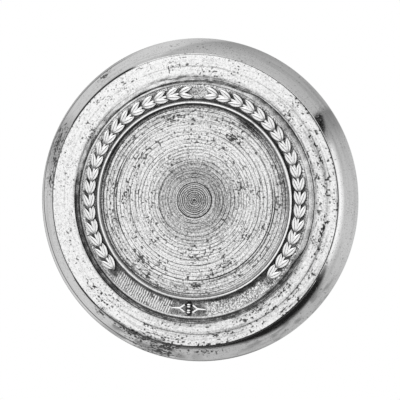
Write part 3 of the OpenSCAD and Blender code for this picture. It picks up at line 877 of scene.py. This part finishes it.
def stud_wear(on):
    r, h, angle = on.r, on.h, on.angle
    neck = (h < cover_front - 0.01) & (h > rim_rear + 0.01) & (r > 0)
    square = stud_r / np.maximum(np.abs(np.cos(angle)), np.abs(np.sin(angle)))
    threaded = (h < shank_end) & (r > 0.5 * stud_r)
    turn = (h / pitch + angle / (2 * pi)) % 1
    profile = np.clip(np.abs(2 * turn - 1) * 1.35 - 0.15, 0, 1)
    runout = smooth(shank_end - h, 0, 1.2 * pitch)
    widen = np.where(threaded, -thread_depth * profile * runout, 0)
    return np.where(neck, square - r, widen), 0, np.where(threaded, 0.32 * profile, 0.1)


thread_rings = int((shank_end - stud_end) / 0.08)
stud_section = section(
    (0, stud_end), (1.55, stud_end), (thread_r, stud_end + 0.7, 4),
    (thread_r, shank_end - 0.02, thread_rings), (stud_r, shank_end), (stud_r, rim_rear, 3),
    (stud_r, rim_rear + 0.02), (stud_r, cover_front - 0.02, 2), (stud_r, cover_front),
    (flange_r - corner, cover_front), (flange_r, cover_front + corner),
    (flange_r, flange_top - corner), (flange_r - corner, flange_top), (0, flange_top, 2),
)
stud_brass = old_brass("stud_brass", (0.7, 0.53, 0.26), (0.38, 0.25, 0.1), (0.22, 0.42), 0.012)
for side, word in hands:
    stud = turned("threaded_stud_" + word, stud_section, stud_steps, stud_wear, side * stud_x)
    fit(stud, stud_brass, "badge", "stud_brass", "stud_" + word)


# Gasket: a disc of black rubber, moulded with a fine ring near its edge and punched for the studs. It seats
# the badge on the grille and keeps the chrome off the paint.
gasket_r = box("gasket")[1].x
gasket_t = -box("gasket")[0].y
ring_r = gasket_r - 1.6
gasket_steps = 240
stud_spots = [(-stud_x, 0), (stud_x, 0)]


def moulded_rubber(name, tone):
    """Matt black rubber, dusty in patches, with the fine grain of its mould."""
    net, spot = blank(name, 0)
    dust = net.noise(spot, 0.25, 5, 0.6)
    colour = net.ramp(dust, (0.35, tone), (0.7, tuple(2.2 * c for c in tone)))
    return net.surface(colour, net.span(dust, 0, 1, 0.5, 0.85), net.noise(spot, 6, 2), 0.7, 0.04)


gasket_section = section(
    (0, 0), (ring_r - 0.35, 0, 8), (ring_r - 0.15, 0.15),
    (ring_r + 0.15, 0.15), (ring_r + 0.35, 0),
    *bulge((gasket_r - 0.3, 0), (gasket_r, 0.3), 0.12, 5),
    *bulge((gasket_r, gasket_t - 0.2), (gasket_r - 0.2, gasket_t), 0.08, 4),
    (0, gasket_t, 2),
)
gasket = turned("rubber_gasket", gasket_section, gasket_steps)
drill(gasket, stud_spots, stud_r + 1.5, -1, gasket_t + 1)
black_rubber = moulded_rubber("black_rubber", (0.018, 0.018, 0.019))
fit(gasket, black_rubber, "badge", "gasket_rubber", "gasket")


# Clamp strap: a bar of spring steel bent down at both ends, punched for the studs, and zinc plated. Its
# corners are rounded by tumbling.
strap_low, strap_high = box("clamp_strap")
strap_w = strap_high.z - strap_low.z
strap_t = 2.5
strap_round = 0.4
bend_r = 1.5 + strap_t / 2
leg_x = strap_high.x - strap_t / 2
web_y = strap_high.y - strap_t / 2
web_half = 20
stud_bore_r = stud_r + 0.25


def rounded_box(half_x, half_y, radius, count=5):
    """Points round a rectangle with rounded corners."""
    points = []
    for sx, sy, start in ((1, 1, 0), (-1, 1, 90), (-1, -1, 180), (1, -1, 270)):
        for a in np.radians(np.linspace(start, start + 90, count)):
            points.append((sx * (half_x - radius) + radius * cos(a),
                           sy * (half_y - radius) + radius * sin(a)))
    return points


def swept_bar(name, path, outline):
    """A bar with that outline swept along a path of x and y points, with its width along Z."""
    path = np.array(path)
    places = [(*(p + n * v), w) for p, n in zip(path, sideways(path)) for v, w in outline]
    return outward(piece(name, places, skin(0, len(path), len(outline))))


def zinc_steel(name, lighter, darkened, polish):
    """Plated steel: crystals of dull zinc, grey stains and a few rubbed scratches along the bar."""
    net, spot = blank(name, 1)
    spangle = net.add("TexVoronoi", {"Vector": spot, "Scale": 0.9}, out="Color")
    stain = net.noise(spot, 0.3, 6, 0.65)
    scratch = net.noise(net.vector("MULTIPLY", spot, {1: (0.15, 3, 6)}), 1, 3, 0.6)
    darkness = net.plus(net.times(stain, 0.55), net.times(spangle, 0.08))
    darkness = net.plus(darkness, net.times(scratch, 0.5))
    colour = net.ramp(darkness, (0.4, lighter), (0.8, darkened))
    return net.surface(colour, net.span(darkness, 0.4, 0.8, *polish), scratch, 0.5, 0.015)


half_path = [(leg_x, y) for y in np.linspace(strap_low.y, web_y - bend_r, 3)]
for a in np.radians(np.linspace(0, 90, 12))[1:]:
    half_path.append((leg_x - bend_r + bend_r * cos(a), web_y - bend_r + bend_r * sin(a)))
strap_path = half_path + [(x, web_y) for x in np.linspace(web_half, -web_half, 9)]
strap_path += [(-x, y) for x, y in reversed(half_path)]
strap = swept_bar("strap_bar", strap_path, rounded_box(strap_t / 2, strap_w / 2, strap_round))
drill(strap, stud_spots, stud_bore_r, -web_y - strap_t, -web_y + strap_t)
plated = zinc_steel("zinc_plated_steel", (0.56, 0.56, 0.55), (0.27, 0.26, 0.25), (0.3, 0.5))
fit(strap, plated, "clamp", "strap_steel", "clamp_strap")


# Foot caps: black rubber caps pushed over the strap's bent ends, so that steel never touches the grille.
# They are moulded with rounded edges and a pocket for the foot.
cap_wall = 1.5
cap_floor = 1.6


def foot_cap(name, node):
    low, high = box(node)
    middle = (low + high) / 2
    half_x, half_z = (high.x - low.x) / 2, (high.z - low.z) / 2
    floor_y = low.y + cap_floor
    loops = [
        (half_x - 0.4, 0.3, floor_y), (cap_wall - 0.1, 0.05, floor_y),
        (cap_wall, 0.1, floor_y + 0.1), (cap_wall, 0.1, high.y - 0.3),
        (cap_wall - 0.3, 0.3, high.y), (0.3, 0.6, high.y),
        (0.08, 0.72, high.y - 0.1), (0, 0.75, high.y - 0.3),
        (0, 0.75, low.y + 0.4), (0.1, 0.7, low.y + 0.12),
        (0.4, 0.6, low.y),
    ]
    places = []
    for inset, radius, y in loops:
        for x, z in rounded_box(half_x - inset, half_z - inset, radius):
            places.append((middle.x + x, y, middle.z + z))
    return outward(piece(name, places, skin(0, len(loops), len(places) // len(loops)), crease=50))


for _, word in hands:
    cap = foot_cap("foot_cap_" + word, "strap_pad_" + word)
    fit(cap, black_rubber, "clamp", "pad_rubber", "strap_pad_" + word)


# Washers: punched plain washers of plated steel with rolled edges, and blued spring washers pressed flat
# under the nuts. The spring washers keep the shape they were cut to.
washer_low, washer_high = box("washer_right")
washer_r = (washer_high.x - washer_low.x) / 2
washer_front, washer_back = -washer_low.y, -washer_high.y
washer_steps = 72
washer_section = section(
    (stud_bore_r, washer_back + 0.1), (stud_bore_r + 0.1, washer_back),
    *bulge((washer_r - 0.25, washer_back), (washer_r, washer_back + 0.25), 0.09, 5),
    (washer_r, washer_front - 0.1), (washer_r - 0.1, washer_front),
    (stud_bore_r, washer_front),
)
blued = zinc_steel("blued_steel", (0.3, 0.3, 0.32), (0.1, 0.09, 0.09), (0.25, 0.45))
for side, word in hands:
    washer = turned("plain_washer_" + word, washer_section, washer_steps, None, side * stud_x)
    fit(washer, plated, "clamp", "washer_steel", "washer_" + word)
    coat(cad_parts["spring_washer_" + word], blued)
    soften("spring_washer_" + word, 0.12)


# Nuts: brass hexagon nuts, turned from bar with their corners chamfered on both ends and a countersink at
# each end of the thread. They turn on the studs and draw the strap in.
nut_low, nut_high = box("nut_right")
nut_front, nut_back = -nut_low.y, -nut_high.y
nut_af = nut_high.z - nut_low.z
nut_corner_r = nut_af / sqrt(3)
nut_bore_r = 2.5
countersink = 0.3
chamfer_slope = tan(radians(30))
nut_steps = 120


def nut_wear(on):
    outside = on.r > nut_bore_r + 1
    hexagon = nut_af / 2 / np.cos(on.angle % (pi / 3) - pi / 6)
    room = np.minimum(nut_front - on.h, on.h - nut_back)
    cone = nut_af / 2 - 0.12 + room / chamfer_slope
    return np.where(outside, np.minimum(hexagon, cone) - on.r, 0), 0, np.where(outside, 0.05, 0.5)


nut_section = section(
    (nut_bore_r, nut_back + countersink), (nut_bore_r + countersink, nut_back),
    (nut_corner_r, nut_back), (nut_corner_r, nut_back + 0.8, 8),
    (nut_corner_r, nut_front - 0.8, 2), (nut_corner_r, nut_front, 8),
    (nut_bore_r + countersink, nut_front), (nut_bore_r, nut_front - countersink),
)
for side, word in hands:
    nut = turned("hex_nut_" + word, nut_section, nut_steps, nut_wear, side * stud_x, crease=25)
    fit(nut, stud_brass, word + "_nut", "nut_brass", "nut_" + word)


# Studio: a pale floor well below the badge, a soft key lamp at the upper left, and white surroundings with a
# dark side at the lower right. The flank mirrors all of them.
floor_r = 600
floor_z = -120
floor_steps = 96
fade_from = 80
fade_to = 320
key_place = Vector((-300, -620, 380))


def pale_floor():
    """A round floor that fades to the white of the surroundings towards its edge."""
    angles = np.linspace(0, 2 * pi, floor_steps, endpoint=False)
    edge = floor_r * np.stack([np.cos(angles), np.sin(angles), 0 * angles], axis=-1)
    made = piece("floor", edge, [range(floor_steps)])
    made.location = (0, 0, floor_z * MM)
    made.visible_glossy = False
    net, spot = blank("pale_paper", 0)
    paper = net.ramp(net.noise(spot, 0.02, 4), (0.3, 0.84), (0.7, 0.88))
    net.feed(net.shader, {"Base Color": paper, "Roughness": 0.9})
    away = net.vector("LENGTH", spot, {}, out="Value")
    fade = net.span(away, fade_from, fade_to, interpolation_type="SMOOTHSTEP")
    fade = net.times(fade, net.add("LightPath", {}, out="Is Camera Ray"))
    white = net.add("Emission", {"Color": (1, 1, 1, 1), "Strength": 1})
    mixed = net.add("MixShader", {"Fac": fade, 1: net.shader.outputs["BSDF"], 2: white})
    net.feed(net.tree.nodes["Material Output"], {"Surface": mixed})
    made.data.materials.append(net.material)


def surroundings():
    """White for the camera. Metal sees a white card in front, grey sides, a bright strip and a dark side."""
    world = bpy.data.worlds.new("studio")
    scene.world = world
    world.use_nodes = True
    net = Net(world.node_tree)
    net.tree.nodes.clear()
    way = net.add("TexCoord", {}, out="Generated")
    x, y, z = (net.add("SeparateXYZ", {0: way}, out=axis) for axis in "XYZ")
    turn = net.span(net.reckon("ARCTAN2", z, x), -pi, pi)
    tilt = net.reckon("DIVIDE", net.reckon("ARCCOSINE", net.times(y, -1)), pi)

    def around(fac, *stops, unit=1):
        """Tones by degrees round the badge's axis, from the right."""
        return net.ramp(fac, *(((angle + 180) / 360, tone / unit) for angle, tone in stops))

    def tilted(*stops):
        """Tones by degrees away from the badge's axis."""
        return net.ramp(tilt, *((angle / 180, tone) for angle, tone in stops))

    far = around(turn, (-155, 36), (-147, 68), (-139, 71), (-104, 67), (-85, 69), (-68, 75), (-57, 75.5),
                 (-46, 72), (-38, 69), (-31, 60), (-28, 50), (-26, 36), (33.5, 36), (36, 62), (40, 71),
                 (43.5, 82), (43.8, 36), unit=180)
    near = around(turn, (-139, 62), (-104, 51), (-85, 44), (-68, 42), (45, 40), unit=180)
    past = net.span(tilt, far, net.plus(far, 0.05))
    reached = net.span(tilt, net.less(near, 0.03), near)
    dark = net.times(net.times(reached, net.less(1, past)), 0.97)
    strip_side = around(turn, (-38, 0), (-28, 1), (27, 1), (31, 0))
    strip = net.times(strip_side, tilted((40, 0), (44, 1), (56, 1), (70, 0)))
    card = tilted((30, 1), (44, 0))
    sides = around(turn, (-180, 0.76), (-140, 0.8), (-110, 0.68), (-80, 0.58), (-45, 0.58), (-18, 0.74),
                   (12, 0.68), (28, 0.6), (35, 0.39), (43.5, 0.28), (44, 0.64), (60, 0.62), (75, 0.64),
                   (90, 0.67), (115, 0.8), (150, 0.76), (180, 0.76))
    upper_right = around(turn, (40, 0), (46, 1), (92, 1), (115, 0))
    fall = net.times(upper_right, tilted((60, 0), (110, 0.24)))
    leaning = net.plus(turn, net.times(net.less(tilt, 50 / 180), 0.225))
    shelf = around(leaning, (98, 0), (114, 0.15), (127, 0.26), (130, 0))
    sides = net.times(net.times(sides, net.less(1, fall)), net.less(1, shelf))
    behind = net.span(y, 0.75, 0.95)
    grey = net.plus(sides, net.times(behind, net.less(0.8, sides)))
    tone = net.plus(net.times(net.less(1, dark), grey), net.times(strip, 0.55))
    camera_ray, glossy_ray, transmission_ray = (
        net.add("LightPath", {}, out=ray) for ray in ("Is Camera Ray", "Is Glossy Ray", "Is Transmission Ray")
    )
    seen = net.most(net.most(tone, card), camera_ray)
    show = net.most(net.most(camera_ray, glossy_ray), transmission_ray)
    ambient = net.add("Background", {"Color": (1, 1, 1, 1), "Strength": 0.85})
    studio = net.add("Background", {"Color": seen, "Strength": 1})
    mixed = net.add("MixShader", {"Fac": show, 1: ambient, 2: studio})
    net.feed(net.tree.nodes.new("ShaderNodeOutputWorld"), {"Surface": mixed})


pale_floor()
surroundings()
key = bpy.data.lights.new("key", "AREA")
key.size = 400 * MM
key.energy = 0.45
lamp = placed("key", key)
lamp.location = key_place * MM
lamp.rotation_euler = (-key_place).to_track_quat("-Z", "Y").to_euler()


# Camera: the photograph's view, a long lens almost square to the face, a little to the right of it, with the
# badge turned slightly in the picture.
view_azimuth = radians(12.2)
view_height = radians(1.8)
view_distance = 600
view_roll = radians(2.6)
target = Vector((0.44, -2.1, 0))
aside = cos(view_height)
toward = Vector((sin(view_azimuth) * aside, -cos(view_azimuth) * aside, sin(view_height)))
camera_data = bpy.data.cameras.new("camera")
camera_data.lens = 218
camera_data.sensor_width = 36
camera_data.clip_start = 10 * MM
camera = placed("camera", camera_data)
turn = toward.to_track_quat("Z", "Y").to_matrix().to_4x4() @ Matrix.Rotation(view_roll, 4, "Z")
camera.matrix_world = Matrix.Translation((target + toward * view_distance) * MM) @ turn
scene.camera = camera
scene.view_settings.view_transform = "Standard"
